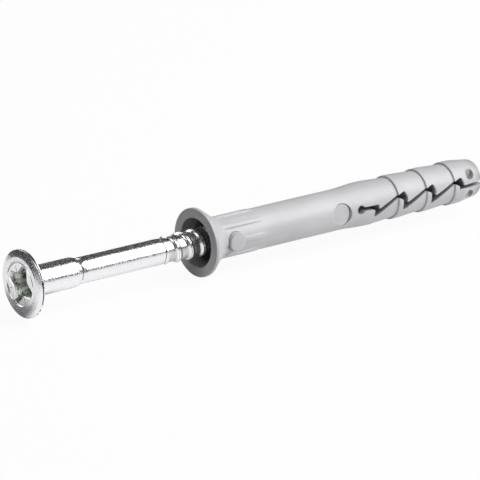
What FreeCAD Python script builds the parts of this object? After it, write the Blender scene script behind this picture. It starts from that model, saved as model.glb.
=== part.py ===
"""Hammer fixing for an 8 mm hole: a steel nail screw started in a slotted plastic plug.

The axis lies along X. The plug's collar face is at x = 0, its tip points to +X, and the nail's
head stands off the collar at -X, ready to be driven. All sizes are in millimetres.
"""
import FreeCAD, Part
import math
import os

from FreeCAD import Vector

AXIS = Vector(1, 0, 0)
ORIGIN = Vector(0, 0, 0)

# plug: overall and collar
PLUG_LENGTH = 63.1
BODY_D = 7.4
COLLAR_D = 12.3
COLLAR_RIM = 0.65
COLLAR_EDGE = 0.15
FLARE_ANGLE = 37.0
FLARE_RADIUS = 3.5

# plug: shallow ribs that grip the hole's mouth
RIB_COUNT = 8
RIB_WIDTH = 0.85
RIB_HEIGHT = 0.3
RIB_FROM = 3.4
RIB_TO = 11.4
RIB_RAMP = 2.4

# plug: round moulding marks on the side that shows
BOSS_D = 3.3
BOSS_X = 6.15
BOSS_PROUD = 0.5
MARK_D = 4.2
MARK_DEPTH = 0.45
MARK_TO_KEYHOLE = 4.2

# plug: expansion zone, measured back from the tip
RING_COUNT = 3
RING_PITCH = 6.65
TIP_RING = 6.9
BARB_D = 8.0
BARB_STEP = 0.27
BARB_LAND = 1.6
SWELL_RAMP = 4.6
TIP_TAPER_LENGTH = 4.6
TIP_END_D = 6.7
TIP_ROUND = 0.75

# plug: zigzag slot that lets the two halves spread
KEYHOLE_D = 1.65
KEYHOLE_TO_SWELL = 2.0
SLOT_NECK = 0.75
SLOT_RISE = 0.25
SLOT_LOW = 1.6
SLOT_TOP = 1.8
SLOT_LEG = 1.0
SLOT_CORNER = 0.45
SLOT_GAP = 0.66
TOOTH_TOP = 0.8
TOOTH_AFTER_STEP = 1.0
TOOTH_ROUND = 0.4

# plug: blind pockets beside the slot at the tip
POCKET_D = 1.95
POCKET_FROM_TIP = 3.1
POCKET_OFFSET = 1.95
POCKET_FLOOR = 1.95

# nail: lengths from the seat under the head's rim
HEAD_D = 11.9
HEAD_RIM = 0.5
HEAD_EDGE = 0.12
DOME_RISE = 0.65
DOME_RING_D = 7.8
DOME_LAND_D = 9.5
DOME_LAND_DROP = 0.1
DISC_SINK = 0.2
NECK_D = 8.6
NECK_LENGTH = 2.2
SHANK_D = 5.3
SHANK_LENGTH = 9.65
WAIST_D = 4.6
WAIST_RAMP = 2.0
THREAD_FROM = 28.0
ROOT_D = 4.4
CREST_D = 5.1
CREST_FLAT = 0.55
THREAD_BASE = 1.9
THREAD_PITCH = 2.65
RIDGE_ROOM = 0.05
THREAD_LAP = 0.3
THREAD_TURN = 243.0
POINT_LENGTH = 4.5
POINT_D = 0.9

# nail: cross recess
CROSS_TURN = 28.0
CROSS_REACH = 3.35
CROSS_TIP_WIDTH = 1.15
LAND_CORNER = 2.05
CROSS_DEPTH = 2.7
CROSS_TAPER = 0.5
CROSS_DRILL = 0.8
TICK_WIDTH = 0.22
TICK_DEPTH = 0.12
TICK_REACH = 3.35

# fits
CLEARANCE = 0.1
SEAT_GAP = 0.05
POINT_ROOM = 0.4
END_WALL = 1.7
STANDOUT = 36.05
MOUTH_ROOM = 0.15
MOUTH_DRAFT = 0.25
OVERCUT = 1.0

# worked out from the sizes above
BODY_R = BODY_D / 2
BARB_R = BARB_D / 2
ROOT_OF_BARB_R = BARB_R - BARB_STEP
LAST_STEP = PLUG_LENGTH - TIP_RING
STEPS = [LAST_STEP - RING_PITCH * k for k in reversed(range(RING_COUNT))]
SWELL_TOP = STEPS[0] - RING_PITCH
SWELL_FROM = SWELL_TOP - SWELL_RAMP
KEYHOLE_X = SWELL_TOP - KEYHOLE_TO_SWELL
MARK_X = KEYHOLE_X - MARK_TO_KEYHOLE
BORE_DEPTH = PLUG_LENGTH - END_WALL
NAIL_REACH = BORE_DEPTH - POINT_ROOM + SEAT_GAP
GUIDE_R = max(SHANK_D, CREST_D) / 2 + CLEARANCE
THREAD_BORE_R = CREST_D / 2 + CLEARANCE
MOUTH_R = NECK_D / 2 + MOUTH_ROOM


def corner(before, at, after, radius):
    """The tangent points and the middle of the arc that rounds one corner of an outline."""
    to_before = (before - at).normalize()
    to_after = (after - at).normalize()
    half = to_before.getAngle(to_after) / 2
    back = radius / math.tan(half)
    middle = (to_before + to_after).normalize()
    reach = radius / math.sin(half) - radius
    return at + to_before * back, at + middle * reach, at + to_after * back


def outline(points):
    """A closed face in the XZ plane; a point's third number rounds that corner."""
    corners = [Vector(p[0], 0, p[1]) for p in points]
    edges = []
    ends = []
    for i, point in enumerate(points):
        at = corners[i]
        if len(point) < 3:
            ends.append((at, at))
            continue
        after = corners[(i + 1) % len(corners)]
        start, middle, end = corner(Vector(corners[i - 1]), at, Vector(after), point[2])
        edges.append(Part.Arc(start, middle, end).toShape())
        ends.append((start, end))
    for i, (start, end) in enumerate(ends):
        edges.append(Part.LineSegment(ends[i - 1][1], start).toShape())
    return Part.Face(Part.Wire(Part.__sortEdges__(edges)))


def lathe(points):
    """A solid turned about the X axis from (x, radius) points."""
    return outline(points).revolve(ORIGIN, AXIS, 360)


def slab(points, low, high):
    """An XZ outline made a solid from y = low to y = high."""
    face = outline(points)
    face.translate(Vector(0, low, 0))
    return face.extrude(Vector(0, high - low, 0))


def around(shape, degrees):
    """A copy turned about the X axis; 0 is the top, 90 the side that faces -Y."""
    copy = shape.copy()
    copy.rotate(ORIGIN, AXIS, degrees)
    return copy


def peg(x, z, diameter, low, high):
    """A cylinder along Y."""
    return Part.makeCylinder(diameter / 2, high - low, Vector(x, low, z), Vector(0, 1, 0))


def plug_outside():
    """The turned outer form: collar, flare, plain body, swelling and barbed rings."""
    collar_r = COLLAR_D / 2
    flare_run = (collar_r - BODY_R) / math.tan(math.radians(FLARE_ANGLE))
    profile = [
        (0, 0),
        (0, collar_r, COLLAR_EDGE),
        (COLLAR_RIM, collar_r, COLLAR_EDGE),
        (COLLAR_RIM + flare_run, BODY_R, FLARE_RADIUS),
        (SWELL_FROM, BODY_R),
        (SWELL_TOP, BARB_R),
        (SWELL_TOP + BARB_LAND, BARB_R),
    ]
    for step in STEPS:
        profile.append((step, ROOT_OF_BARB_R))
        profile.append((step, BARB_R))
        if step < LAST_STEP:
            profile.append((step + BARB_LAND, BARB_R))
    profile += [
        (PLUG_LENGTH - TIP_TAPER_LENGTH, BARB_R),
        (PLUG_LENGTH, TIP_END_D / 2, TIP_ROUND),
        (PLUG_LENGTH, 0),
    ]
    return lathe(profile)


def plug_rib():
    """One rib along the top, ending in a ramp towards the tip."""
    top = BODY_R + RIB_HEIGHT
    foot = BODY_R - RIB_HEIGHT
    points = [
        (RIB_FROM, foot),
        (RIB_FROM, top),
        (RIB_TO, top),
        (RIB_TO + RIB_RAMP, BODY_R),
        (RIB_TO + RIB_RAMP, foot),
    ]
    return slab(points, -RIB_WIDTH / 2, RIB_WIDTH / 2)


def plug_bore():
    """The mouth that takes the head's neck, the guide bore and the pointed end of the bore."""
    mouth_end_r = MOUTH_R - MOUTH_DRAFT
    mouth_depth = NECK_LENGTH - SEAT_GAP
    funnel_end = mouth_depth + mouth_end_r - GUIDE_R
    point_from = BORE_DEPTH - POINT_LENGTH
    points = [
        (-OVERCUT, 0),
        (-OVERCUT, MOUTH_R),
        (0, MOUTH_R),
        (mouth_depth, mouth_end_r),
        (funnel_end, GUIDE_R),
        (SWELL_FROM, GUIDE_R),
        (SWELL_FROM + CLEARANCE, THREAD_BORE_R),
        (point_from, THREAD_BORE_R),
        (BORE_DEPTH, POINT_D / 2 + CLEARANCE),
        (BORE_DEPTH, 0),
    ]
    return lathe(points)


def plug_slot():
    """The zigzag slot from the keyhole to the tip, one leg and one tooth for each ring."""
    neck_top = SLOT_RISE + SLOT_NECK / 2
    neck_foot = SLOT_RISE - SLOT_NECK / 2
    gap = SLOT_GAP / 2
    past_tip = PLUG_LENGTH + OVERCUT
    walls = [x + TOOTH_AFTER_STEP for x in [SWELL_TOP] + STEPS]
    upper = [(KEYHOLE_X, neck_top), (walls[0] + SLOT_LEG, neck_top, TOOTH_ROUND)]
    lower = [(KEYHOLE_X, neck_foot), (walls[0], neck_foot, TOOTH_ROUND)]
    for wall, following in zip(walls, walls[1:]):
        upper.append((wall + SLOT_LEG, -SLOT_CORNER))
        upper.append((following + SLOT_LEG / 2, SLOT_TOP, TOOTH_ROUND))
        upper.append((following + SLOT_LEG, SLOT_TOP - SLOT_LEG))
        lower.append((wall, -SLOT_LOW, TOOTH_ROUND / 2))
        lower.append((wall + SLOT_LEG / 2, -SLOT_LOW))
        lower.append((following - TOOTH_AFTER_STEP, TOOTH_TOP))
        lower.append((following, TOOTH_TOP - TOOTH_ROUND, TOOTH_ROUND))
    upper += [(walls[-1] + SLOT_LEG, gap), (past_tip, gap)]
    lower += [(walls[-1], -gap), (past_tip, -gap)]
    zigzag = slab(upper + lower[::-1], -BARB_D, BARB_D)
    return zigzag.fuse(peg(KEYHOLE_X, SLOT_RISE, KEYHOLE_D, -BARB_D, BARB_D))


def plug_pockets():
    """Blind pockets each side of the slot, on both faces of the tip."""
    x = PLUG_LENGTH - POCKET_FROM_TIP
    spots = [(z, side) for z in (-POCKET_OFFSET, POCKET_OFFSET) for side in (-1, 1)]
    for z, side in spots:
        low, high = sorted((side * POCKET_FLOOR, side * BARB_D))
        yield peg(x, z, POCKET_D, low, high)


def plug_sleeve():
    """The whole plug, one moulding."""
    ribs = [around(plug_rib(), 360 / RIB_COUNT * k) for k in range(RIB_COUNT)]
    boss = peg(BOSS_X, 0, BOSS_D, -BODY_R - BOSS_PROUD, RIB_HEIGHT - BODY_R)
    mark_y = MARK_DEPTH - BODY_R
    disc = peg(MARK_X, 0, MARK_D, mark_y, mark_y + MARK_DEPTH)
    solid = plug_outside().multiFuse(ribs + [boss, disc]).removeSplitter()
    mark = peg(MARK_X, 0, MARK_D, -BARB_D, mark_y)
    return solid.cut([mark, plug_bore(), plug_slot()] + list(plug_pockets()))


def nail_front():
    """Head, neck, shank and waist, turned, with the seat under the head's rim at x = 0."""
    head_r = HEAD_D / 2
    ring_r = DOME_RING_D / 2
    top = -HEAD_RIM - DOME_RISE
    joint = THREAD_FROM + THREAD_LAP
    points = [
        (top + DISC_SINK, 0),
        (top + DISC_SINK, ring_r - DISC_SINK),
        (top, ring_r, DISC_SINK / 2),
        (top + DOME_LAND_DROP, DOME_LAND_D / 2, head_r / 4),
        (-HEAD_RIM, head_r, HEAD_EDGE),
        (0, head_r, HEAD_EDGE),
        (0, NECK_D / 2),
        (NECK_LENGTH, SHANK_D / 2),
        (SHANK_LENGTH, SHANK_D / 2),
        (SHANK_LENGTH + WAIST_RAMP, WAIST_D / 2),
        (THREAD_FROM, WAIST_D / 2, CLEARANCE),
        (joint, ROOT_D / 2 - RIDGE_ROOM),
        (joint, 0),
    ]
    return lathe(points)


def thread_ridge():
    """The rolled thread's ridge, its foot sunk below the root."""
    run = CREST_D / 2
    deep = ROOT_D / 2 - CLEARANCE
    section = [
        Vector(deep, 0, -THREAD_BASE / 2),
        Vector(run, 0, -CREST_FLAT / 2),
        Vector(run, 0, CREST_FLAT / 2),
        Vector(deep, 0, THREAD_BASE / 2),
    ]
    wire = Part.makePolygon(section + section[:1])
    helix = Part.Wire(Part.makeHelix(THREAD_PITCH, NAIL_REACH - THREAD_FROM, deep))
    ridge = helix.makePipeShell([wire], True, True)
    ridge.rotate(ORIGIN, Vector(0, 0, 1), THREAD_TURN)
    ridge.rotate(ORIGIN, Vector(0, 1, 0), 90)
    ridge.translate(Vector(THREAD_FROM, 0, 0))
    return ridge


def nail_thread():
    """The threaded rod, its thread running out at the waist and at the point."""
    root = ROOT_D / 2
    wide = CREST_D / 2 + RIDGE_ROOM
    start = Vector(THREAD_FROM - OVERCUT, 0, 0)
    rod = Part.makeCylinder(root, NAIL_REACH - THREAD_FROM + 2 * OVERCUT, start, AXIS)
    limit = lathe([
        (THREAD_FROM, 0),
        (THREAD_FROM, root - RIDGE_ROOM),
        (THREAD_FROM + THREAD_PITCH / 2, wide),
        (NAIL_REACH - POINT_LENGTH, wide),
        (NAIL_REACH, POINT_D / 2),
        (NAIL_REACH, 0),
    ])
    return rod.fuse(thread_ridge()).common(limit)


def star(x, scale):
    """The cross recess's outline at one depth: four wings and the lands between them."""
    half = CROSS_TIP_WIDTH / 2
    land = LAND_CORNER / math.sqrt(2)
    wing = [(land, land), (half, CROSS_REACH), (-half, CROSS_REACH)]
    points = []
    for k in range(4):
        turn = math.radians(90 * k)
        for side, out in wing:
            y = side * math.cos(turn) - out * math.sin(turn)
            z = side * math.sin(turn) + out * math.cos(turn)
            points.append(Vector(x, y * scale, z * scale))
    return Part.makePolygon(points + points[:1])


def cross_recess():
    """The tapered cross recess, its centre drill point and the four ticks between its wings."""
    face = -HEAD_RIM - DOME_RISE + DISC_SINK
    foot = face + CROSS_DEPTH
    above = face - DISC_SINK * 2
    spread = 1 + (1 - CROSS_TAPER) * (face - above) / CROSS_DEPTH
    wings = Part.makeLoft([star(above, spread), star(foot, CROSS_TAPER)], True, True)
    drill_r = LAND_CORNER * CROSS_TAPER
    drill = Part.makeCone(drill_r, 0, CROSS_DRILL, Vector(foot, 0, 0), AXIS)
    tick_top = face - DISC_SINK * 2
    tick = Part.makeBox(
        face + TICK_DEPTH - tick_top, TICK_WIDTH, TICK_REACH, Vector(tick_top, -TICK_WIDTH / 2, 0)
    )
    ticks = [around(tick, 45 + 90 * k) for k in range(4)]
    return around(wings.multiFuse([drill] + ticks), CROSS_TURN)


def nail_screw():
    """The whole nail, started in the plug."""
    solid = nail_front().fuse(nail_thread()).cut(cross_recess())
    solid.translate(Vector(-STANDOUT, 0, 0))
    return solid


def main():
    os.makedirs("parts", exist_ok=True)
    nodes = {"nail_screw": nail_screw(), "plug_sleeve": plug_sleeve()}
    for name, shape in nodes.items():
        solid = shape.Solids[0]
        print(name, "solids", len(shape.Solids), "valid", shape.isValid())
        print(name, "volume", round(shape.Volume, 2), "mm3")
        solid.exportStep("parts/" + name + ".step")
    gap = nodes["nail_screw"].common(nodes["plug_sleeve"]).Volume
    print("nail and plug overlap", round(gap, 4), "travel", STANDOUT - SEAT_GAP)


main()
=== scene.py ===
# %% [markdown]
# # A hammer fixing, dressed
#
# The real object is a nail screw of zinc-plated steel, started in a slotted plug of grey nylon. Its
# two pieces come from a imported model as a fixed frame. Each is modelled again here with finer edges,
# a rolled thread and the finish of its own material, and rides on the frame's body, so that the nail
# still drives into the plug.

# %% Load the frame
import math

import bpy
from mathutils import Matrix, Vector


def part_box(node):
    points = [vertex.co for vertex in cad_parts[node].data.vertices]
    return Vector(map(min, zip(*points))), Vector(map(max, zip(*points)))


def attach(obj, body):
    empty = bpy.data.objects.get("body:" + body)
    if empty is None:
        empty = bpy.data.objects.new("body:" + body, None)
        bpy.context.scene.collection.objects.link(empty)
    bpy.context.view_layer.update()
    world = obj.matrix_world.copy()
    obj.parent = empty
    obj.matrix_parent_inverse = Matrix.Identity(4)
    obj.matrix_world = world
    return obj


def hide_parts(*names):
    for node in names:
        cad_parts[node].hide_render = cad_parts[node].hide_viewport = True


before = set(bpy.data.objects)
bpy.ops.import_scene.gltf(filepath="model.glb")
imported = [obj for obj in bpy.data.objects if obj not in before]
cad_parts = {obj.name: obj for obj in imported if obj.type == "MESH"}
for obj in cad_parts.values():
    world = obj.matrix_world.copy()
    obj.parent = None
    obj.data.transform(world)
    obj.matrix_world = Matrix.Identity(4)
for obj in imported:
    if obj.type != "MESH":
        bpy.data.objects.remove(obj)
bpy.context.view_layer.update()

MM = 0.001
plug_low, plug_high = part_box("plug_sleeve")
nail_low, nail_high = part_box("nail_screw")
PLUG_END = plug_high.x / MM
NAIL_TOP = nail_low.x / MM
NAIL_END = nail_high.x / MM
print("plug ends at", round(PLUG_END, 2), "mm, nail from", round(NAIL_TOP, 2), "to", round(NAIL_END, 2))

# %% [markdown]
# ## Helpers for turned and moulded pieces
#
# Both pieces are round, so both start as a lathe would make them. A hand modeller puts one vertex
# down, extrudes it from point to point along half of the section, and spins that line about the axis.
# Corners of real parts are never quite sharp. A small arc in the line catches a highlight there, so the
# first helper rounds each corner that asks for it before anything is spun.

# %% Rounded outlines
ARC_STEPS = 6


def rounded(points):
    """The outline's points, with an arc at each point whose third number is a radius."""
    line = []
    for i, point in enumerate(points):
        at = Vector(point[:2])
        if len(point) < 3:
            line.append(at)
            continue
        to_before = (Vector(points[i - 1][:2]) - at).normalized()
        to_after = (Vector(points[(i + 1) % len(points)][:2]) - at).normalized()
        half = to_before.angle(to_after) / 2
        middle = at + (to_before + to_after).normalized() * (point[2] / math.sin(half))
        start = at + to_before * (point[2] / math.tan(half)) - middle
        end = at + to_after * (point[2] / math.tan(half)) - middle
        for step in range(ARC_STEPS + 1):
            line.append(middle + start.slerp(end, step / ARC_STEPS).normalized() * point[2])
    return line


def closer(line, step):
    """The same line with points added, so that no run is longer than step."""
    made = [line[0]]
    for before, after in zip(line, line[1:]):
        parts = max(1, math.ceil((after - before).length / step))
        made += [before.lerp(after, k / parts) for k in range(1, parts + 1)]
    return made


square_corner = [(0, 0), (0, 1, 0.2), (1, 1)]
print("a corner of", len(square_corner), "points, rounded, has", len(rounded(square_corner)))


# %% Turning
MERGE = 0.0005


def start_vertex(name, x, y, z):
    """A new object in edit mode that is one selected vertex, given in millimetres."""
    bpy.ops.object.select_all(action="DESELECT")
    bpy.ops.mesh.primitive_plane_add(size=MM, location=(0, 0, 0))
    piece = bpy.context.object
    piece.name = name
    bpy.ops.object.mode_set(mode="EDIT")
    bpy.ops.mesh.select_all(action="SELECT")
    bpy.ops.mesh.merge(type="CENTER")
    bpy.ops.transform.translate(value=(x * MM, y * MM, z * MM))
    return piece


def side_view(step):
    """A step of a side view in space: its two parts run along X and Z."""
    return (step.x, 0, step.y)


def extruded(line, view, scale=1.0):
    """Extrudes the selected vertex from point to point of a line that is drawn in that view."""
    for before, after in zip(line, line[1:]):
        step = (after - before) * MM * scale
        bpy.ops.mesh.extrude_vertices_move(TRANSFORM_OT_translate={"value": view(step)})
    bpy.ops.mesh.select_all(action="SELECT")


def faced_outwards(piece):
    """Turns all faces of the piece in edit mode outwards and leaves edit mode."""
    bpy.ops.mesh.select_all(action="SELECT")
    bpy.ops.mesh.normals_make_consistent(inside=False)
    bpy.ops.object.mode_set(mode="OBJECT")
    return piece


def turned(name, line, sides):
    """A solid spun about the X axis from a line of (x, radius) points that starts and ends on it."""
    piece = start_vertex(name, line[0].x, 0, line[0].y)
    extruded(line, side_view)
    bpy.ops.mesh.spin(steps=sides, angle=2 * math.pi, center=(0, 0, 0), axis=(1, 0, 0))
    bpy.ops.mesh.select_all(action="SELECT")
    bpy.ops.mesh.remove_doubles(threshold=MM * MERGE)
    return faced_outwards(piece)


# %% [markdown]
# ## The nail's turned form
#
# The real nail is headed and rolled from one wire. The head has a thin rim, a low dome and a raised
# ring round a sunk disc. A cone under it seats in the plug's mouth, and a thick shank narrows to a
# small step, where a thinner waist begins. Fine lines are scored round the rim and the waist. Separate
# cylinders and cones would leave seams between them, so all of it is one line, spun. The sizes are the
# frame's own, in millimetres.

# %% Sizes of the nail
HEAD_R = 5.95
HEAD_RIM = 0.5
DOME_RISE = 0.65
LAND_R = 4.75
LAND_DROP = 0.13
SLOPE_R = 5.4
SLOPE_DROP = 0.33
RING_R = 3.9
RING_FALL = 0.09
RING_INSIDE = 0.20
RING_TOP = 0.08
RING_OUTSIDE = 0.1
DISC_SINK = 0.2
NECK_R = 4.3
NECK_LENGTH = 2.2
SHANK_R = 2.65
SHANK_LENGTH = 9.45
EDGE_R = 2.47
EDGE_RUN = 0.1
WAIST_R = 2.3
WAIST_LINE = 10.33
THREAD_FROM = 28.0
ROOT_R = 2.2
ROOT_HOLLOW = 0.05
ROOT_FROM = 0.1
ROWS_FROM = 0.25
SCORE_WIDTH = 0.22
SCORE_DEPTH = 0.06
POINT_LENGTH = 4.5
POINT_R = 0.45
NAIL_SIDES = 128
NAIL_STEP = 1.2
RING_STEP = 0.085
NAIL_ROUND = {
    "disc": 0.05, "ring": 0.03, "ring_foot": 0.06, "land": 0.5, "slope": 1.5, "rim": 0.07,
    "back": 0.1, "neck": 0.15, "neck_end": 0.8, "shank_end": 1.2, "edge": 0.1, "waist_end": 0.08,
}

SEAT = NAIL_TOP + HEAD_RIM + DOME_RISE
RIM_FRONT = SEAT - HEAD_RIM
RIM_LINE = RIM_FRONT + NAIL_ROUND["rim"]
face = NAIL_TOP + DISC_SINK
print("nail: head", 2 * HEAD_R, "mm, shank", 2 * SHANK_R, "mm, waist", 2 * WAIST_R, "mm")


# %% Nail line
def score(x, radius):
    """A fine line scored round the nail, as three points of its section."""
    return [(x, radius), (x + SCORE_WIDTH / 2, radius - SCORE_DEPTH), (x + SCORE_WIDTH, radius)]


front_line = rounded([
    (face, 0),
    (face, RING_R - RING_INSIDE, NAIL_ROUND["disc"]),
    (NAIL_TOP, RING_R - RING_TOP, NAIL_ROUND["disc"]),
    (NAIL_TOP, RING_R, NAIL_ROUND["ring"]),
    (NAIL_TOP + RING_FALL, RING_R + RING_OUTSIDE, NAIL_ROUND["ring_foot"]),
    (NAIL_TOP + LAND_DROP, LAND_R, NAIL_ROUND["land"]),
    (NAIL_TOP + SLOPE_DROP, SLOPE_R, NAIL_ROUND["slope"]),
    (RIM_FRONT, HEAD_R, NAIL_ROUND["rim"]),
] + score(RIM_LINE, HEAD_R) + [
    (SEAT, HEAD_R, NAIL_ROUND["back"]),
    (SEAT, NECK_R, NAIL_ROUND["neck"]),
    (SEAT + NECK_LENGTH, SHANK_R, NAIL_ROUND["neck_end"]),
    (SEAT + SHANK_LENGTH, SHANK_R, NAIL_ROUND["shank_end"]),
    (SEAT + WAIST_LINE - EDGE_RUN, EDGE_R, NAIL_ROUND["edge"]),
] + score(SEAT + WAIST_LINE, WAIST_R) + [
    (SEAT + THREAD_FROM, WAIST_R, NAIL_ROUND["waist_end"]),
    (SEAT + THREAD_FROM + ROOT_FROM, ROOT_R - ROOT_HOLLOW),
])
thread_start = Vector((SEAT + THREAD_FROM + ROWS_FROM, ROOT_R))
point_start = Vector((NAIL_END - POINT_LENGTH, ROOT_R))
thread_line = closer([thread_start, point_start, Vector((NAIL_END, POINT_R))], RING_STEP)
nail_line = closer(front_line, NAIL_STEP) + thread_line + [Vector((NAIL_END, 0))]
nail = turned("nail_finish", nail_line, NAIL_SIDES)
print("nail: turned with", len(nail.data.vertices), "vertices")

# %% [markdown]
# ## The rolled thread
#
# Rolling presses a helix into the wire: rounded crests, hollow roots, a soft run-out at each end, and
# a fine seam along the crest where the metal from both sides meets. A screw modifier gives a clean
# helix but no run-out, and its ends then have to be sewn to the nail. The turned form already has
# close rings here, so each vertex is moved out instead, by a wave that climbs one pitch in each turn.

# %% Thread
THREAD_PITCH = 2.65
CREST_R = 2.56
CREST_SHARE = 0.34
FLANK_SHARE = 0.22
SEAM_SHARE = 0.05
SEAM_DEPTH = 0.07
CREST_AT = 0.1
RUN_IN = 1.6


def soft(value):
    """A smooth step from 0 to 1."""
    value = min(1.0, max(0.0, value))
    return value * value * (3 - 2 * value)


def reshaped(piece, rule):
    """Moves each vertex to the radius that the rule gives for its (x, radius, angle), in mm and degrees."""
    for vertex in piece.data.vertices:
        x, y, z = vertex.co / MM
        radius = math.hypot(y, z)
        if radius > 0:
            scale = rule(x, radius, math.degrees(math.atan2(-y, z))) / radius
            vertex.co.y *= scale
            vertex.co.z *= scale


def threaded(x, radius, angle):
    """The radius of the thread at this place; the crest's line passes the -Y side at CREST_AT."""
    start = SEAT + THREAD_FROM
    if x <= start:
        return radius
    turn = (x - CREST_AT - (angle - 90) / 360 * THREAD_PITCH) / THREAD_PITCH
    off_crest = abs((turn + 0.5) % 1 - 0.5)
    height = 1 - soft((off_crest - CREST_SHARE / 2 + FLANK_SHARE / 2) / FLANK_SHARE)
    height = (CREST_R - ROOT_R) * height - SEAM_DEPTH * (1 - soft(off_crest / SEAM_SHARE))
    point = min(1.0, (NAIL_END - x) / POINT_LENGTH)
    return radius + height * soft((x - start) / RUN_IN) * soft(point)


reshaped(nail, threaded)
print("thread: crest diameter", 2 * CREST_R, "mm, pitch", THREAD_PITCH, "mm")

# %% [markdown]
# ## The cross recess
#
# The recess takes a cross-shaped driver: four wings whose ends slope inwards, joined by lands whose
# corners point at the centre, with four ticks between the wings. One outline, extruded and narrowed,
# would slope everywhere alike. So the tool is a stack of star-shaped outlines with sizes of their own,
# bridged into one solid: wide at the lip, short at the foot of the slope, and drawn to a drill point.
# The first two flare a little, which leaves the soft lip that a punch makes in steel.

# %% Recess outline
WINGS = 4
CROSS_TURN = 20.0
CROSS_TOP = {"half": 0.6, "reach": 3.35, "land": 2.0, "soft": 0.2}
CROSS_SLOPE = {"half": 0.55, "reach": 2.2, "land": 1.6, "soft": 0.17}
CROSS_FOOT = {"half": 0.45, "reach": 1.5, "land": 1.0, "soft": 0.14}
SLOPE_DEPTH = 1.2
CROSS_DEPTH = 3.0
CROSS_DRILL = 0.7
DRILL_SHARE = 0.15
LIP = 0.12
LIP_FLARE = 1.06
TICK_HALF = 0.11
TICK_DEPTH = 0.12
TICK_REACH = 3.3


def star_line(half, reach, land, soft):
    """A star as (y, z) points in millimetres: wings that wide and long, and lands between them."""
    corner = land / math.sqrt(2)
    points = []
    for k in range(WINGS):
        turn = math.radians(360 / WINGS * k)
        for y, z in ((half, reach), (-half, reach), (-corner, corner)):
            points.append((
                y * math.cos(turn) - z * math.sin(turn),
                y * math.sin(turn) + z * math.cos(turn),
                soft,
            ))
    return rounded(points)


print("recess:", 2 * CROSS_TOP["reach"], "mm across, with", len(star_line(**CROSS_TOP)), "points a star")


# %% Recess tool
def alone(piece):
    """Selects one object and makes it the active one."""
    bpy.ops.object.select_all(action="DESELECT")
    piece.select_set(True)
    bpy.context.view_layer.objects.active = piece


def front_view(step):
    """A step of a front view in space: its two parts run along Y and Z."""
    return (0, step.x, step.y)


def star_wire(name, x, line, scale=1.0):
    """The outline of a star as one closed wire at that depth."""
    piece = start_vertex(name, x, line[0].x * scale, line[0].y * scale)
    extruded(line, front_view, scale)
    bpy.ops.mesh.edge_face_add()
    bpy.ops.mesh.delete(type="ONLY_FACE")
    bpy.ops.object.mode_set(mode="OBJECT")
    return piece


def star_tool():
    """The recess as a solid, standing a little above the face, its foot drawn to a drill point."""
    top = star_line(**CROSS_TOP)
    slope = star_line(**CROSS_SLOPE)
    foot = star_line(**CROSS_FOOT)
    wires = [
        star_wire("recess_tool", face - 2 * DISC_SINK, top, LIP_FLARE),
        star_wire("lip", face, top, LIP_FLARE),
        star_wire("mouth", face + LIP, top),
        star_wire("slope", face + SLOPE_DEPTH, slope),
        star_wire("foot", face + CROSS_DEPTH, foot),
        star_wire("drill", face + CROSS_DEPTH + CROSS_DRILL, foot, DRILL_SHARE),
    ]
    piece = wires[0]
    alone(piece)
    for wire in wires[1:]:
        wire.select_set(True)
    bpy.ops.object.join()
    bpy.ops.object.mode_set(mode="EDIT")
    bpy.ops.mesh.select_all(action="SELECT")
    bpy.ops.mesh.bridge_edge_loops()
    bpy.ops.mesh.select_all(action="SELECT")
    bpy.ops.mesh.fill_holes(sides=0)
    return faced_outwards(piece)


recess = star_tool()
print("recess tool:", len(recess.data.polygons), "faces")


# %% Cutting the recess
TICK_BEFORE = 1.0


def joined(piece, tool, operation):
    """Cuts the tool out of the piece or adds it, and removes the tool."""
    alone(piece)
    change = piece.modifiers.new(tool.name, "BOOLEAN")
    change.operation = operation
    change.solver = "EXACT"
    change.object = tool
    bpy.ops.object.modifier_apply(modifier=change.name)
    bpy.data.objects.remove(tool)


def turned_about_x(piece, degrees):
    """Turns a piece about the X axis, from the top towards -Y, and applies it."""
    alone(piece)
    piece.rotation_euler.x = math.radians(degrees)
    bpy.ops.object.transform_apply(location=True, rotation=True, scale=True)


def placed(name):
    """Names the primitive that was just added and puts its place into its mesh."""
    piece = bpy.context.object
    piece.name = name
    bpy.ops.object.transform_apply(location=True, rotation=True, scale=True)
    return piece


def block(name, low, high):
    """A box between two corners given in millimetres."""
    middle = [(a + b) / 2 * MM for a, b in zip(low, high)]
    size = [(b - a) * MM for a, b in zip(low, high)]
    bpy.ops.object.select_all(action="DESELECT")
    bpy.ops.mesh.primitive_cube_add(size=1, location=middle, scale=size)
    return placed(name)


turned_about_x(recess, CROSS_TURN)
joined(nail, recess, "DIFFERENCE")
for k in range(WINGS):
    tick = block("tick", (face - TICK_BEFORE, -TICK_HALF, 0), (face + TICK_DEPTH, TICK_HALF, TICK_REACH))
    turned_about_x(tick, CROSS_TURN + 360 / WINGS * (k + 0.5))
    joined(nail, tick, "DIFFERENCE")
print("nail: after the recess", len(nail.data.polygons), "faces")

# %% [markdown]
# ## The plug's turned form
#
# The plug is one moulding. Its section runs from the bottom of the bore out through the mouth, round
# the collar, down the flare, along the body and over the swelling and the three barbed rings to the
# blunt tip. It could be built up from cylinders and cones, but the long soft bends between them would
# be lost, so it is one spun line, as the nail is. Its rows are close on the outside, where ribs and
# cuts follow, so that shading stays even there.

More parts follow.
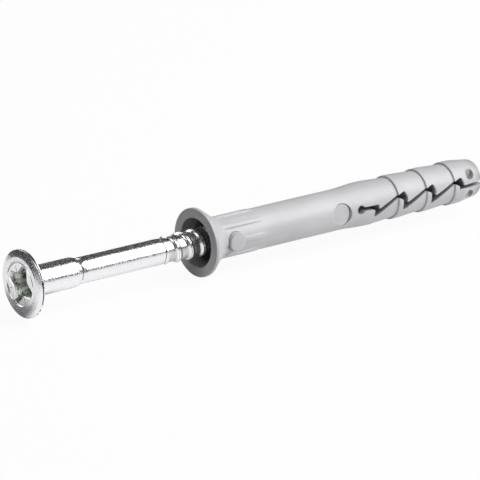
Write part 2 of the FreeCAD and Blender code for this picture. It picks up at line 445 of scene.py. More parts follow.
# %% Sizes of the plug
BODY_R = 3.7
COLLAR_R = 6.15
COLLAR_RIM = 0.65
FLARE_ANGLE = 37.0
FLARE_RADIUS = 3.5
BARB_R = 4.0
BARB_STEP = 0.33
BARB_LAND = 1.6
RING_PITCH = 6.65
TIP_RING = 6.9
SWELL_RAMP = 4.6
TIP_TAPER = 4.6
TIP_R = 3.35
TIP_ROUND = 0.75
GUIDE_R = 2.75
BORE_R = 2.65
MOUTH_R = 4.45
MOUTH_END_R = 4.2
MOUTH_DEPTH = 2.15
END_WALL = 1.7
CLEARANCE = 0.1
PLUG_SIDES = 192
ROW_STEP = 0.5
BORE_STEP = 4.0
RINGS = 3
PLUG_ROUND = {
    "guide": 0.3, "mouth": 0.4, "lip": 0.1, "collar": 0.15, "bend": 6.0, "step": 0.05, "barb": 0.06,
}

last_step = PLUG_END - TIP_RING
steps = [last_step - RING_PITCH * k for k in reversed(range(RINGS))]
swell_top = steps[0] - RING_PITCH
swell_from = swell_top - SWELL_RAMP
bore_end = PLUG_END - END_WALL
flare_run = (COLLAR_R - BODY_R) / math.tan(math.radians(FLARE_ANGLE))
print("plug: ring steps at", [round(step, 2) for step in steps], "mm")
print("plug: flare", round(flare_run, 2), "mm long")

# %% Plug line
ON_FACE = 0.001
NEAR_EDGE = 0.2

lip_and_collar = [(0, MOUTH_R, PLUG_ROUND["lip"]), (0, COLLAR_R, PLUG_ROUND["collar"])]
bore_line = rounded([
    (bore_end, 0),
    (bore_end, POINT_R + CLEARANCE),
    (bore_end - POINT_LENGTH, BORE_R),
    (swell_from + CLEARANCE, BORE_R),
    (swell_from, GUIDE_R),
    (MOUTH_DEPTH + MOUTH_END_R - GUIDE_R, GUIDE_R, PLUG_ROUND["guide"]),
    (MOUTH_DEPTH, MOUTH_END_R, PLUG_ROUND["mouth"]),
] + lip_and_collar)
outer = lip_and_collar + [
    (COLLAR_RIM, COLLAR_R, PLUG_ROUND["collar"]),
    (COLLAR_RIM + flare_run, BODY_R, FLARE_RADIUS),
    (swell_from, BODY_R, PLUG_ROUND["bend"]),
    (swell_top, BARB_R, PLUG_ROUND["bend"]),
    (swell_top + BARB_LAND, BARB_R, PLUG_ROUND["bend"]),
]
for step in steps:
    outer.append((step, BARB_R - BARB_STEP, PLUG_ROUND["step"]))
    outer.append((step, BARB_R, PLUG_ROUND["barb"]))
    if step < last_step:
        outer.append((step + BARB_LAND, BARB_R, PLUG_ROUND["bend"]))
outer += [
    (PLUG_END - TIP_TAPER, BARB_R, PLUG_ROUND["bend"]),
    (PLUG_END, TIP_R, TIP_ROUND),
    (PLUG_END, 0),
]
outer_line = rounded(outer)


def collar_corner(line):
    """Where the line comes to the outer corner of the collar's front face."""
    near = [point.x < ON_FACE and point.y > COLLAR_R - NEAR_EDGE for point in line]
    return near.index(True)


bore_part = bore_line[:collar_corner(bore_line)]
outer_part = outer_line[collar_corner(outer_line):]
plug_line = closer(bore_part, BORE_STEP) + closer(outer_part, ROW_STEP)
plug = turned("plug_finish", plug_line, PLUG_SIDES)
print("plug: turned with", len(plug.data.vertices), "vertices")

# %% [markdown]
# ## The grip ribs
#
# Eight shallow ribs keep the plug from turning in the mouth of the hole. They are too low for
# separate solids to look moulded on, so the turned skin itself is raised: each vertex goes out by the
# rib's height times two soft masks, one across the rib and one along it.

# %% Ribs
RIB_COUNT = 8
RIB_WIDTH = 0.85
RIB_HEIGHT = 0.3
RIB_SIDE = 0.22
RIB_TO = 10.7
RIB_RAMP = 2.6
SKIN = 0.05


def ribbed(x, radius, angle):
    """The radius of the outside with its ribs; the bore is left alone."""
    if radius < BODY_R - SKIN or x > RIB_TO + RIB_RAMP or x < COLLAR_RIM:
        return radius
    pitch = 360 / RIB_COUNT
    off = abs((angle + pitch / 2) % pitch - pitch / 2)
    across = 1 - soft((math.radians(off) * BODY_R - RIB_WIDTH / 2) / RIB_SIDE + 0.5)
    along = 1 - soft((x - RIB_TO) / RIB_RAMP)
    return max(radius, BODY_R + RIB_HEIGHT * across * along)


reshaped(plug, ribbed)
print("ribs:", RIB_COUNT, "at", RIB_HEIGHT, "mm proud")

# %% [markdown]
# ## Boss, mark, pockets and slot
#
# A round boss stands up from the side that shows, with a fine groove at its foot. A round mark further
# on is a hole with a flat disc in it, sunk half into the body, so that a groove is left round the disc.
# Four blind pockets flank the slot at the tip. The slot starts at a keyhole and zigzags to the tip,
# one leg and one tooth for each ring, so that the two halves lock into each other. Drawing all this
# into the turned skin would need a mesh that follows every edge. Each is a tool cut from, or joined
# to, the turned form instead, as the pins and blades of the real mould do it.

# %% Boss, mark and pockets
BOSS_X = 6.15
BOSS_R = 1.65
BOSS_PROUD = 0.7
BOSS_EDGE = 0.08
BOSS_FOOT = 0.7
BOSS_GROOVE = 0.08
BOSS_GROOVE_DEPTH = 0.6
BOSS_SHIFT = 0.06
MARK_R = 2.1
MARK_DEPTH = 0.45
MARK_GROOVE = 0.12
MARK_GROOVE_DEPTH = 0.4
MARK_EDGE = 0.03
MARK_SHIFT = 0.11
MARK_TO_KEYHOLE = 4.2
KEYHOLE_TO_SWELL = 2.0
POCKET_R = 0.975
POCKET_FROM_TIP = 3.1
POCKET_OFFSET = 1.95
POCKET_FLOOR = 2.5
PEG_SIDES = 64
PEG_ARC = 4
FACING = 0.9
OUTSIDE = 8.0


def peg(name, x, z, radius, low, high, edge=0.0):
    """A round tool along Y between low and high, the edge of its -Y end rounded, in millimetres."""
    bpy.ops.object.select_all(action="DESELECT")
    bpy.ops.mesh.primitive_cylinder_add(
        vertices=PEG_SIDES, radius=radius * MM, depth=(high - low) * MM,
        location=(x * MM, (low + high) / 2 * MM, z * MM), rotation=(math.radians(90), 0, 0),
    )
    piece = placed(name)
    if edge:
        bpy.ops.object.mode_set(mode="EDIT")
        bpy.ops.mesh.select_all(action="DESELECT")
        bpy.ops.object.mode_set(mode="OBJECT")
        for end in piece.data.polygons:
            end.select = end.normal.y < -FACING
        bpy.ops.object.mode_set(mode="EDIT")
        bpy.ops.mesh.region_to_loop()
        bpy.ops.mesh.bevel(offset=edge * MM, segments=PEG_ARC, affect="EDGES")
        bpy.ops.object.mode_set(mode="OBJECT")
    return piece


keyhole_x = swell_top - KEYHOLE_TO_SWELL
mark_x = keyhole_x - MARK_TO_KEYHOLE
mark_y = MARK_DEPTH - BODY_R
groove_x = BOSS_X - BOSS_SHIFT
groove = peg("groove", groove_x, 0, BOSS_R + BOSS_GROOVE, -OUTSIDE, BOSS_GROOVE_DEPTH - BODY_R)
joined(plug, groove, "DIFFERENCE")
boss = peg("boss", BOSS_X, 0, BOSS_R, -BODY_R - BOSS_PROUD, BOSS_FOOT - BODY_R, edge=BOSS_EDGE)
joined(plug, boss, "UNION")
joined(plug, peg("mark", mark_x, 0, MARK_R, -OUTSIDE, mark_y + MARK_GROOVE_DEPTH), "DIFFERENCE")
disc_x = mark_x - MARK_SHIFT
disc = peg("disc", disc_x, 0, MARK_R - MARK_GROOVE, mark_y, mark_y + MARK_DEPTH, edge=MARK_EDGE)
joined(plug, disc, "UNION")
for offset in (-POCKET_OFFSET, POCKET_OFFSET):
    for low, high in ((-OUTSIDE, -POCKET_FLOOR), (POCKET_FLOOR, OUTSIDE)):
        pocket = peg("pocket", PLUG_END - POCKET_FROM_TIP, offset, POCKET_R, low, high)
        joined(plug, pocket, "DIFFERENCE")
print("plug: with boss, mark and pockets", len(plug.data.polygons), "faces")

# %% Zigzag slot
KEYHOLE_R = 0.825
SLOT_NECK = 0.75
SLOT_RISE = 0.25
SLOT_LOW = 1.6
SLOT_TOP = 1.8
SLOT_LEG = 1.0
SLOT_CORNER = 0.3
SLOT_GAP = 0.66
TOOTH_TOP = 0.8
TOOTH_AFTER_STEP = 1.0
TOOTH_ROUND = 0.4
TOOTH_BEND = 0.3
SLOT_SHARP = 0.1
SLOT_RIDGE = 0.1
PAST_TIP = 1.0


def slab(name, line, depth):
    """A closed outline of (x, z) points made a solid that reaches depth to each side of y = 0."""
    piece = start_vertex(name, line[0].x, -depth, line[0].y)
    extruded(line, side_view)
    bpy.ops.mesh.edge_face_add()
    bpy.ops.mesh.extrude_region_move(TRANSFORM_OT_translate={"value": (0, 2 * depth * MM, 0)})
    return faced_outwards(piece)


def slot_line():
    """The zigzag's outline: along its upper wall to the tip and back along the lower one."""
    upper_z = SLOT_RISE + SLOT_NECK / 2
    lower_z = SLOT_RISE - SLOT_NECK / 2
    half = SLOT_GAP / 2
    past_tip = PLUG_END + PAST_TIP
    walls = [x + TOOTH_AFTER_STEP for x in [swell_top] + steps]
    upper = [(keyhole_x, upper_z), (walls[0] + SLOT_LEG, upper_z, TOOTH_ROUND)]
    lower = [(keyhole_x, lower_z), (walls[0], lower_z, TOOTH_ROUND)]
    for wall, following in zip(walls, walls[1:]):
        upper.append((wall + SLOT_LEG, -SLOT_CORNER, SLOT_SHARP))
        upper.append((following + SLOT_LEG / 2, SLOT_TOP + SLOT_RIDGE, TOOTH_ROUND))
        upper.append((following + SLOT_LEG, SLOT_TOP - SLOT_LEG, SLOT_SHARP))
        lower.append((wall, -SLOT_LOW, TOOTH_ROUND / 2))
        lower.append((wall + SLOT_LEG / 2, -SLOT_LOW, SLOT_SHARP))
        lower.append((following - TOOTH_AFTER_STEP, TOOTH_TOP, TOOTH_BEND))
        lower.append((following, TOOTH_TOP - TOOTH_ROUND, TOOTH_ROUND))
    upper += [(walls[-1] + SLOT_LEG, half, SLOT_SHARP), (past_tip, half)]
    lower += [(walls[-1], -half, SLOT_SHARP), (past_tip, -half)]
    return rounded(upper + lower[::-1])


joined(plug, slab("slot_tool", slot_line(), OUTSIDE), "DIFFERENCE")
keyhole = peg("keyhole", keyhole_x, SLOT_RISE, KEYHOLE_R, -OUTSIDE, OUTSIDE)
joined(plug, keyhole, "DIFFERENCE")
print("plug: after the cuts", len(plug.data.polygons), "faces")

# %% [markdown]
# ## Riding on the frame
#
# The two finished meshes stand for the frame's plain solids. Each rides on its own body, so the nail
# slides into the plug when the joint moves.

# %% Attach
SMOOTH_UNDER = 35.0

for piece, body, node, slot_name in (
    (nail, "nail", "nail_screw", "zinc_plated_steel"),
    (plug, "plug", "plug_sleeve", "grey_nylon"),
):
    alone(piece)
    bpy.ops.object.shade_smooth_by_angle(angle=math.radians(SMOOTH_UNDER))
    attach(piece, body)
    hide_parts(node)
    print(piece.name, "rides on", body, "and stands for", node)

# %% [markdown]
# ## Shader maths in Python
#
# A material's masks are sums and products of places and noise. Wired by hand as nodes they are hard to
# read and to change, so one small class wraps a socket and adds a Math node for each operator. Every
# other node comes from one method that takes its type, its settings and its inputs. Colours go through
# a Mix node, because a Math node would turn them grey.

# %% Socket class
MIX_A = 6
MIX_B = 7
MIX_RESULT = 2


class Wire:
    """An output socket of a material on which Python's operators work."""

    def __init__(self, finish, socket):
        self.finish = finish
        self.socket = socket

    def math(self, operation, first, second):
        """The result of one Math node."""
        return self.finish.node("ShaderNodeMath", {"operation": operation}, {0: first, 1: second})

    def __add__(self, other):
        return self.math("ADD", self, other)

    def __radd__(self, other):
        return self.math("ADD", other, self)

    def __sub__(self, other):
        return self.math("SUBTRACT", self, other)

    def __rsub__(self, other):
        return self.math("SUBTRACT", other, self)

    def __mul__(self, other):
        return self.math("MULTIPLY", self, other)

    def __rmul__(self, other):
        return self.math("MULTIPLY", other, self)

    def rise(self, low, high):
        """0 below low, 1 above high and a soft step between them; it falls where high is the lower."""
        sockets = {"Value": self, "From Min": low, "From Max": high}
        return self.finish.node("ShaderNodeMapRange", {"interpolation_type": "SMOOTHSTEP"}, sockets)

    def rise_mm(self, low, high):
        """The same step between two places that are given in millimetres."""
        return self.rise(low * MM, high * MM)


# %% Finish class
class Finish:
    """The nodes of a new material or world, built from Python values and expressions."""

    def __init__(self, owner):
        owner.use_nodes = True
        self.owner = owner
        self.tree = owner.node_tree
        self.tree.nodes.clear()

    def node(self, kind, settings=None, sockets=None, output=0):
        """A node of that type with its settings and inputs; gives the named or numbered output."""
        made = self.tree.nodes.new(kind)
        for key, value in (settings or {}).items():
            if key == "stops":
                made.color_ramp.elements[0].position = value[0][0]
                made.color_ramp.elements[1].position = value[-1][0]
                for place, _ in value[1:-1]:
                    made.color_ramp.elements.new(place)
                for element, (_, colour) in zip(made.color_ramp.elements, value):
                    element.color = colour
            else:
                setattr(made, key, value)
        for key, value in (sockets or {}).items():
            if isinstance(value, Wire):
                self.tree.links.new(value.socket, made.inputs[key])
            else:
                made.inputs[key].default_value = value
        return Wire(self, made.outputs[output]) if made.outputs else None

    def place(self):
        """A point of the object, in its own coordinates."""
        return self.node("ShaderNodeTexCoord", output="Object")

    def noise(self, per_mm, detail, stretch=(1, 1, 1)):
        """Noise with that many lumps to a millimetre, drawn out where stretch is under 1."""
        vector = self.node("ShaderNodeMapping", {}, {"Vector": self.place(), "Scale": stretch})
        sockets = {"Vector": vector, "Scale": per_mm / MM, "Detail": detail}
        return self.node("ShaderNodeTexNoise", {}, sockets)

    def ramp(self, value, stops):
        """The colour that the stops give for the value."""
        return self.node("ShaderNodeValToRGB", {"stops": stops}, {"Fac": value})

    def parts(self):
        """The x, y and z of a point of the object."""
        split = {"Vector": self.place()}
        return [self.node("ShaderNodeSeparateXYZ", {}, split, output=name) for name in "XYZ"]

    def axes(self):
        """How far along the axis a point is, and how far from it."""
        x, y, z = self.parts()
        squares = y * y + z * z
        return x, squares.math("SQRT", squares, 0.0)

    def mixed(self, share, first, second):
        """The first colour where share is 0, the second where it is 1."""
        sockets = {"Factor": share, MIX_A: first, MIX_B: second}
        return self.node("ShaderNodeMix", {"data_type": "RGBA"}, sockets, output=MIX_RESULT)

    def ray(self, kind):
        """1 for rays of that kind and 0 for others."""
        return self.node("ShaderNodeLightPath", output=kind)

    def give(self, shader, piece):
        """Ends the material with that shader and puts it on the piece."""
        self.node("ShaderNodeOutputMaterial", {}, {"Surface": shader})
        piece.data.materials.clear()
        piece.data.materials.append(self.owner)


def grey(level, tint=(1.0, 1.0, 1.0)):
    """A colour of that brightness with an optional tint."""
    return tuple(level * part for part in tint) + (1.0,)


print("a middle grey:", grey(0.5))


# %% [markdown]
# ## Zinc plating
#
# Bright zinc is a metal mirror with a fine, uneven grain: the wire's drawn skin shows through it and
# breaks each reflection into specks. A picture wrapped round the nail could show that, but it would
# blur close up. A bump of two noises makes the specks instead, one round and one drawn out along the
# axis, and the roughness varies a little with them. Deep inside the recess the colour is greener, a
# tint of the plating there, and darker with depth, which is painted shade. The roots of the thread
# are painted a little darker, painted shade in the hollows, and the scored lines are painted dark in
# broken dashes, painted shade in the grooves. Each of those has a mask of its own, made from the
# places where it starts and ends on the nail.

# %% Zinc values
ZINC_TINT = (0.975, 0.97, 1)
ZINC_DULL = grey(0.92, ZINC_TINT)
ZINC_BRIGHT = grey(0.98, ZINC_TINT)
GRAIN_PER_MM = 3.2
DRAWN_PER_MM = 1.6
PATCHES_PER_MM = 0.5
GRAIN_SHARE = 0.75
GRAIN_DEPTH = 0.035
DRAWN_OUT = (0.3, 1, 1)
SPECKS_BETWEEN = (0.42, 0.62)
ROUGHNESS = {"even": 0.18, "specks": 0.10, "patches": 0.08}

RECESS_SLOPE = 0.45
RECESS_WALL = (3.6, 3.5)
RECESS_STARTS = (face + 0.08, face + 0.3)
# The recess is greener, a tint of the plating, and painted darker with depth: painted shade.
RECESS_SHADE_DEEPENS = (face + 0.4, face + 2.2)
RECESS_MOUTH_TINT_SHADE = grey(0.75, (0.95, 1.0, 0.94))
RECESS_FOOT_TINT_SHADE = grey(0.35, (0.94, 1.0, 0.92))
RECESS_SMOOTH = 0.85

# Painted shade: the roots of the thread are painted darker.
ROOT_WALL = (ROOT_R + 0.22, ROOT_R + 0.04)
ROOTS_START = (SEAT + THREAD_FROM + 0.6, SEAT + THREAD_FROM + 1.4)
ROOT_SHADE_TONE = grey(0.64)
# Painted shade: the scored lines are painted dark in broken dashes.
SCORE_BLUR = 0.03
BREAKS_PER_MM = 0.9
SCORE_BREAKS = (0.38, 0.5)
SCORE_SHADE_LINES = (
    (RIM_LINE, grey(0.12)),
    (SEAT + WAIST_LINE, grey(0.4)),
    (SEAT + THREAD_FROM, grey(0.2)),
)

# %% Zinc grain
zinc = Finish(bpy.data.materials.new("zinc_plating"))
grain = zinc.noise(GRAIN_PER_MM, detail=2.0)
drawn = zinc.noise(DRAWN_PER_MM, detail=1.0, stretch=DRAWN_OUT)
patches = zinc.noise(PATCHES_PER_MM, detail=2.0)
specks = zinc.noise(GRAIN_PER_MM, detail=1.0).rise(*SPECKS_BETWEEN)
bright = zinc.mixed(specks, ZINC_DULL, ZINC_BRIGHT)
print("zinc: nodes for the grain", len(zinc.tree.nodes))

# %% Recess and roots in zinc
along, from_axis = zinc.axes()
recess_cone = from_axis + (along - face * MM) * RECESS_SLOPE
inside = recess_cone.rise_mm(*RECESS_WALL) * along.rise_mm(*RECESS_STARTS)
# Painted shade: darker towards the foot of the recess; the green is a tint of the plating.
shade_with_depth = along.rise_mm(*RECESS_SHADE_DEEPENS)
recess_tint_and_shade = zinc.mixed(shade_with_depth, RECESS_MOUTH_TINT_SHADE, RECESS_FOOT_TINT_SHADE)
zinc_tone = zinc.mixed(inside, bright, recess_tint_and_shade)
# Painted shade in the roots of the thread.
root_shade = from_axis.rise_mm(*ROOT_WALL) * along.rise_mm(*ROOTS_START)
zinc_tone = zinc.mixed(root_shade, zinc_tone, ROOT_SHADE_TONE)
print("zinc: nodes with recess and roots", len(zinc.tree.nodes))

# %% Scored lines and the zinc shader
broken = zinc.noise(BREAKS_PER_MM, detail=2.0).rise(*SCORE_BREAKS)
# Painted shade: each scored line is painted dark in broken dashes.
for line_from, tone in SCORE_SHADE_LINES:
    line_to = line_from + SCORE_WIDTH
    scored = along.rise_mm(line_from - SCORE_BLUR, line_from)
    scored = scored * along.rise_mm(line_to + SCORE_BLUR, line_to)
    zinc_tone = zinc.mixed(scored * broken, zinc_tone, tone)
height = (grain * GRAIN_SHARE + drawn * (1 - GRAIN_SHARE)) * (1 - inside * RECESS_SMOOTH)
zinc_bump = zinc.node("ShaderNodeBump", {}, {
    "Strength": 1.0, "Distance": GRAIN_DEPTH * MM, "Height": height,
})
zinc_shader = zinc.node("ShaderNodeBsdfPrincipled", {}, {
    "Base Color": zinc_tone,
    "Metallic": 1.0,
    "Roughness": specks * ROUGHNESS["specks"] + patches * ROUGHNESS["patches"] + ROUGHNESS["even"],
    "Normal": zinc_bump,
})
zinc.give(zinc_shader, nail)
print("zinc: all nodes", len(zinc.tree.nodes))

# %% [markdown]
# ## Grey nylon
#
# Moulded nylon is a satin plastic. Its colour is nearly even, with faint cloudy patches where the
# melt cooled, and its skin copies the fine spark-eroded texture of the mould. Its edges are not quite
# sharp. A bevel modifier would have to find every edge that the cuts left, so a Bevel node rounds them
# in the shading only. The mouth, the bore, the walls of the slot and the pockets are painted darker,
# as painted shade in these hollows. Each has its own dark tone, with a mask from how far along the
# plug a point is and how far from its middle.

# %% Nylon values
NYLON_TINT = (0.975, 0.965, 1)
CLOUD_PER_MM = 0.12
SKIN_PER_MM = 3.0
CLOUD_STOPS = [(0.3, grey(0.61, NYLON_TINT)), (0.7, grey(0.67, NYLON_TINT))]
SKIN_DEPTH = 0.03
SKIN_STRENGTH = 0.25
EDGE_SOFT = 0.15
EDGE_SAMPLES = 8
SATIN = 0.34
SATIN_VARIES = 0.1

# Painted shade: the mouth and the bore are painted darker.
MOUTH_SHADE_TONE = grey(0.40)
MOUTH_WALL = (MOUTH_R + 0.09, MOUTH_R)
MOUTH_STARTS = (0.0, 0.3)
MOUTH_CONE = (MOUTH_DEPTH + MOUTH_END_R + 0.4, MOUTH_DEPTH + MOUTH_END_R + 0.25)
BORE_SHADE_TONE = grey(0.04)
BORE_STARTS = (1.9, 2.7)
BORE_ENDS = (keyhole_x - 3.0, keyhole_x - 6.0)

# Painted shade: the walls of the slot and the pockets are painted darker.
SLOT_SHADE_TONE = grey(0.28)
SLOT_WALL = (BARB_R - 0.08, BARB_R - 0.6)
SLOT_ENDS = (PLUG_END - 1.0, PLUG_END - 2.0)
RINGS_START = (swell_top - 0.2, swell_top + 0.4)
NECK_WALL = (3.65, 3.0)
NECK_STARTS = (keyhole_x + 1.0, keyhole_x + 1.5)
POCKET_SHADE_TONE = grey(0.45)
POCKET_WALL = (3.7, 3.4)
POCKETS_START = (PLUG_END - 4.4, PLUG_END - 4.2)
BESIDE_SLOT = (0.5, 0.7)

# %% Nylon skin
nylon = Finish(bpy.data.materials.new("moulded_nylon"))
cloud = nylon.noise(CLOUD_PER_MM, detail=3.0)
skin = nylon.noise(SKIN_PER_MM, detail=2.0)
edges = nylon.node("ShaderNodeBevel", {"samples": EDGE_SAMPLES}, {"Radius": EDGE_SOFT * MM})
nylon_bump = nylon.node("ShaderNodeBump", {}, {
    "Strength": SKIN_STRENGTH, "Distance": SKIN_DEPTH * MM, "Height": skin, "Normal": edges,
})
nylon_tone = nylon.ramp(cloud, CLOUD_STOPS)
print("nylon: nodes for the skin", len(nylon.tree.nodes))

# %% Mouth and bore in nylon
depth, from_middle = nylon.axes()
mouth_cone = from_middle + depth
# Painted shade: the mouth is painted dark grey and the bore nearly black.
mouth_shade = from_middle.rise_mm(*MOUTH_WALL) * depth.rise_mm(*MOUTH_STARTS)
mouth_shade = mouth_shade * mouth_cone.rise_mm(*MOUTH_CONE)
bore_shade = mouth_shade * depth.rise_mm(*BORE_STARTS) * depth.rise_mm(*BORE_ENDS)
nylon_tone = nylon.mixed(mouth_shade, nylon_tone, MOUTH_SHADE_TONE)
nylon_tone = nylon.mixed(bore_shade, nylon_tone, BORE_SHADE_TONE)
print("nylon: nodes with mouth and bore", len(nylon.tree.nodes))

# %% Slot and pockets in nylon
since_step = depth.math("MODULO", depth - swell_top * MM, RING_PITCH * MM)
fall = since_step.rise_mm(BARB_LAND, RING_PITCH) * (BARB_STEP * MM)
on_rings = depth.rise_mm(*RINGS_START)
ring_walls = (from_middle + fall).rise_mm(*SLOT_WALL) * on_rings
neck_walls = from_middle.rise_mm(*NECK_WALL) * depth.rise_mm(*NECK_STARTS) * (1 - on_rings)
off_level = nylon.parts()[2]
beside = (off_level * off_level).rise(*[(place * MM) ** 2 for place in BESIDE_SLOT])
pocket_zone = depth.rise_mm(*POCKETS_START) * beside
# Painted shade on the walls of the slot and in the pockets.
slot_shade = (ring_walls * (1 - pocket_zone) + neck_walls) * depth.rise_mm(*SLOT_ENDS)
pocket_shade = pocket_zone * from_middle.rise_mm(*POCKET_WALL)
nylon_tone = nylon.mixed(slot_shade, nylon_tone, SLOT_SHADE_TONE)
nylon_tone = nylon.mixed(pocket_shade, nylon_tone, POCKET_SHADE_TONE)
nylon_shader = nylon.node("ShaderNodeBsdfPrincipled", {}, {
    "Base Color": nylon_tone,
    "Roughness": skin * SATIN_VARIES + SATIN,
    "Normal": nylon_bump,
})
nylon.give(nylon_shader, plug)
print("nylon: all nodes", len(nylon.tree.nodes))

# %% [markdown]
# ## Floor
#
# The fixing lies over a white floor. A studio gets that white from light, a rendered one from a floor
# that glows where the camera sees it. Metal shows all that is round it, so the floor has a second
# look for glossy rays: a round white sheet on dark ground, glowing brighter on its front side as a
# painted pool of the key's light, with a painted shadow of the object behind the head. What falls
# back on the nylon comes from a third: pale cloth, with a black patch on the head's side that is
# painted shade for the collar's front. Masks of the floor's own coordinates draw all three.

# %% Floor
FLOOR_SIZE = 6.0
FLOOR_GLOW = 0.94
SHEET_X = 0.013
SHEET_R = 0.11
SHEET_EDGE = 0.015
SHEET_GLOW = 0.5
# Painted light: the sheet glows brighter on the front side, a painted pool of the key's light in
# reflections.
LIT_FRONT_GLOW = 0.4
GROUND = 0.04
CLOTH = 0.7
# Painted shade: a black patch in the bounce on the head's side keeps the collar's front dark.
SHADE_CLOTH_TONE = 0.05
CLOTH_X = 0.004
LIT_FRONT_SIDE = (0.0, -0.005)
# Painted shadow: the object's shadow behind the head, painted into the floor that metal reflects.
PAINTED_SHADOW_X = ((-0.0445, -0.0415), (-0.026, -0.031))
PAINTED_SHADOW_Y = ((-0.003, 0.0005), (0.018, 0.010))
PAINTED_SHADOW_DARK = 0.65
PAINTED_SHADOW_DIM = 0.85

bpy.ops.object.select_all(action="DESELECT")
bpy.ops.mesh.primitive_plane_add(size=FLOOR_SIZE, location=(0, 0, plug_low.z))
floor = placed("floor")
print("floor at", round(plug_low.z / MM, 2), "mm")

# %% Floor material
floor_finish = Finish(bpy.data.materials.new("pale_floor"))
viewed = floor_finish.ray("Is Camera Ray") + floor_finish.ray("Is Transmission Ray")
glossy = floor_finish.ray("Is Glossy Ray")
across, behind, _ = floor_finish.parts()
off_middle = across - SHEET_X
sheet = (off_middle * off_middle + behind * behind).rise((SHEET_R + SHEET_EDGE) ** 2, SHEET_R ** 2)
# Painted shade: black bounce on the head's side, for the collar's front.
shade_cloth = across.rise(CLOTH_X, CLOTH_X - SHEET_EDGE)
# Painted light: the front side of the sheet glows brighter in reflections.
front = behind.rise(*LIT_FRONT_SIDE)
# Painted shadow behind the head, seen in reflections.
painted_shadow = across.rise(*PAINTED_SHADOW_X[0]) * across.rise(*PAINTED_SHADOW_X[1])
painted_shadow = painted_shadow * behind.rise(*PAINTED_SHADOW_Y[0]) * behind.rise(*PAINTED_SHADOW_Y[1])
ground = sheet * (1 - GROUND) + GROUND
mirrored = glossy * (1 - painted_shadow * PAINTED_SHADOW_DARK)
bounced = (1 - viewed - glossy) * (CLOTH - shade_cloth * (CLOTH - SHADE_CLOTH_TONE))
matt_tone = viewed + (mirrored + bounced) * ground
sheet_glow = glossy * sheet * (1 - painted_shadow * PAINTED_SHADOW_DIM) * (front * LIT_FRONT_GLOW + SHEET_GLOW)
matt = floor_finish.node("ShaderNodeBsdfDiffuse", {}, {"Color": matt_tone})
glow = floor_finish.node("ShaderNodeEmission", {}, {"Color": grey(1.0), "Strength": 1.0})
shares = {0: viewed * FLOOR_GLOW + sheet_glow, 1: matt, 2: glow}
floor_finish.give(floor_finish.node("ShaderNodeMixShader", {}, shares), floor)
print("floor: all nodes", len(floor_finish.tree.nodes))

# %% [markdown]
# ## Dark room and grey card
#
# A photographer of bright metal hangs dark cloth round the table, so that the metal has black bands
# beside its white ones, and props a card where an edge would get lost. Here the cloth is a sphere cut
# off above the floor, and the card a thin box at the head's side. Only glossy rays see them, so they
# change the reflections and nothing else.

# %% Room and card
ROOM_RADIUS = 1.6
ROOM_GAP = 0.01
ROOM_TONE = grey(0.05, (0.97, 0.96, 1))
CARD_LOW = (-251.0, -60.0, plug_low.z / MM)
CARD_HIGH = (-250.0, 60.0, 35.0)
CARD_TONE = grey(0.5)


def reflected(piece, name, tone):
    """Makes a piece of the stage one that glows in that tone and shows in reflections only."""
    piece.visible_camera = False
    piece.visible_diffuse = False
    piece.visible_shadow = False
    piece.visible_transmission = False
    finish = Finish(bpy.data.materials.new(name))
    finish.give(finish.node("ShaderNodeEmission", {}, {"Color": tone, "Strength": 1.0}), piece)


bpy.ops.object.select_all(action="DESELECT")
bpy.ops.mesh.primitive_uv_sphere_add(segments=64, ring_count=32, radius=ROOM_RADIUS, location=(0, 0, 0))
room = placed("dark_room")
bpy.ops.object.mode_set(mode="EDIT")
bpy.ops.mesh.select_all(action="SELECT")
bpy.ops.mesh.bisect(plane_co=(0, 0, plug_low.z + ROOM_GAP), plane_no=(0, 0, 1), clear_inner=True)
bpy.ops.object.mode_set(mode="OBJECT")
reflected(room, "dark_cloth", ROOM_TONE)
reflected(block("left_card", CARD_LOW, CARD_HIGH), "grey_card", CARD_TONE)
print("room radius", ROOM_RADIUS, "m, card", CARD_HIGH[1] - CARD_LOW[1], "mm wide")

# %% [markdown]
# ## World
#
# The world lights the object from all sides alike. That flattens it, so the share is small. The rays
# that show the background see plain white instead.

# %% World
AMBIENT = 0.02

sky = Finish(bpy.data.worlds.new("studio"))
bpy.context.scene.world = sky.owner
shown = sky.ray("Is Camera Ray")
for kind in ("Is Glossy Ray", "Is Transmission Ray"):
    shown = shown.math("MAXIMUM", shown, sky.ray(kind))
ambient = sky.node("ShaderNodeBackground", {}, {"Color": grey(1.0), "Strength": AMBIENT})
white = sky.node("ShaderNodeBackground", {}, {"Color": grey(1.0), "Strength": 1.0})
studio = sky.node("ShaderNodeMixShader", {}, {0: shown, 1: ambient, 2: white})
sky.node("ShaderNodeOutputWorld", {}, {"Surface": studio})
print("world: ambient", AMBIENT)

# %% [markdown]
# ## Light
#
# One lamp could light the plug, and the nail would then be a black bar with one streak. So each
# lamp has one task. The key from the tip's side makes the long side the brightest and gives the metal
# its white band, and a fill widens that band. One over the head's side keeps the faces that look that
# way dark grey. The low, top and rear ones lift the nylon where the key misses it and are hidden from
# reflections. The back one is only a reflection, for the crests of the thread.

# %% Lamps
MIDDLE = Vector((0.013, 0, 0))


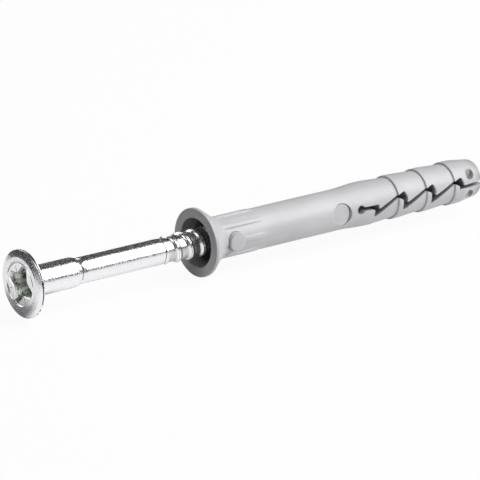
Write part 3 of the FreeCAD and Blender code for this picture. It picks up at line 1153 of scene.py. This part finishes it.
def lamp(name, direction, distance, size, power):
    """A square soft lamp that looks at the object from that direction."""
    data = bpy.data.lights.new(name, "AREA")
    data.size = size
    data.energy = power
    made = bpy.data.objects.new(name, data)
    bpy.context.scene.collection.objects.link(made)
    towards = Vector(direction).normalized()
    made.location = MIDDLE + towards * distance
    made.rotation_euler = towards.to_track_quat("Z", "Y").to_euler()
    return made


lamp("key", (0.586, -0.458, 0.669), distance=0.7, size=0.6, power=4.4)
lamp("fill", (0.62, -0.74, 0.46), distance=0.7, size=0.3, power=0.6).visible_diffuse = False
lamp("left", (-0.75, -0.12, 0.64), distance=0.9, size=0.5, power=1.6)
lamp("low", (0.3, -0.95, 0.15), distance=0.9, size=0.6, power=2.6).visible_glossy = False
lamp("top", (0.35, 0.3, 0.88), distance=0.7, size=0.5, power=0.75).visible_glossy = False
lamp("rear", (0.45, 0.88, 0.15), distance=0.9, size=0.4, power=1.2).visible_glossy = False
lamp("back", (0.0, 0.78, 0.62), distance=0.8, size=0.55, power=1.9).visible_diffuse = False

# %% [markdown]
# ## Camera
#
# The picture was taken with a long lens, from the head's side and a little above. So the camera
# stands well back, turned from the front towards the head, with a lens of 300 mm.

# %% Camera
AZIMUTH = -37.7
ELEVATION = 18.12
DISTANCE = 0.7018
AIM = Vector((0.0098, 0.0, -0.00144))
LENS = 300.0
SENSOR = 36.0
NEAREST = 0.01
FARTHEST = 20.0

turn = math.radians(AZIMUTH)
tilt = math.radians(ELEVATION)
back = Vector((math.sin(turn) * math.cos(tilt), -math.cos(turn) * math.cos(tilt), math.sin(tilt)))
camera_data = bpy.data.cameras.new("camera")
camera_data.lens = LENS
camera_data.sensor_width = SENSOR
camera_data.clip_start = NEAREST
camera_data.clip_end = FARTHEST
camera = bpy.data.objects.new("camera", camera_data)
bpy.context.scene.collection.objects.link(camera)
camera.location = AIM + back * DISTANCE
camera.rotation_euler = back.to_track_quat("Z", "Y").to_euler()
bpy.context.scene.camera = camera
bpy.context.scene.view_settings.view_transform = "Standard"
print("camera:", DISTANCE, "m away with a lens of", LENS, "mm")
